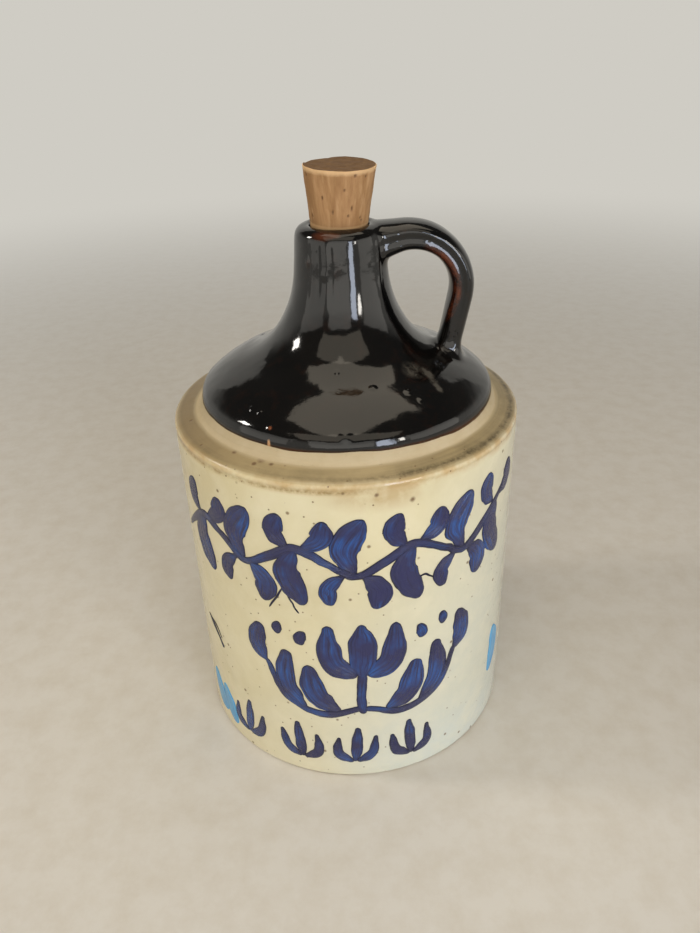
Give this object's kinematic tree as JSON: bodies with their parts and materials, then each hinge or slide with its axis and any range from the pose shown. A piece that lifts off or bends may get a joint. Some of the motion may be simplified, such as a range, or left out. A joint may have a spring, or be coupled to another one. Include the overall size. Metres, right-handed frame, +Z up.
{
  "type": "liquor jug",
  "caption": "Stoneware shoulder jug with a glazed straight body, dark domed top, strap handle at the neck and a tapered cork in its mouth.",
  "frame": {"origin": "centre of the base on the jug's axis, at the height it stands on", "axes": "+Z up along the jug's axis, +X towards the handle, -Y towards the painted front"},
  "size_m": [0.178, 0.178, 0.303],
  "materials": {
    "glazed_stoneware": "gloss",
    "cork": "matte"
  },
  "bodies": {
    "root": {"stoneware_jug": "glazed_stoneware", "cork_stopper": "cork"}
  },
  "joints": []
}
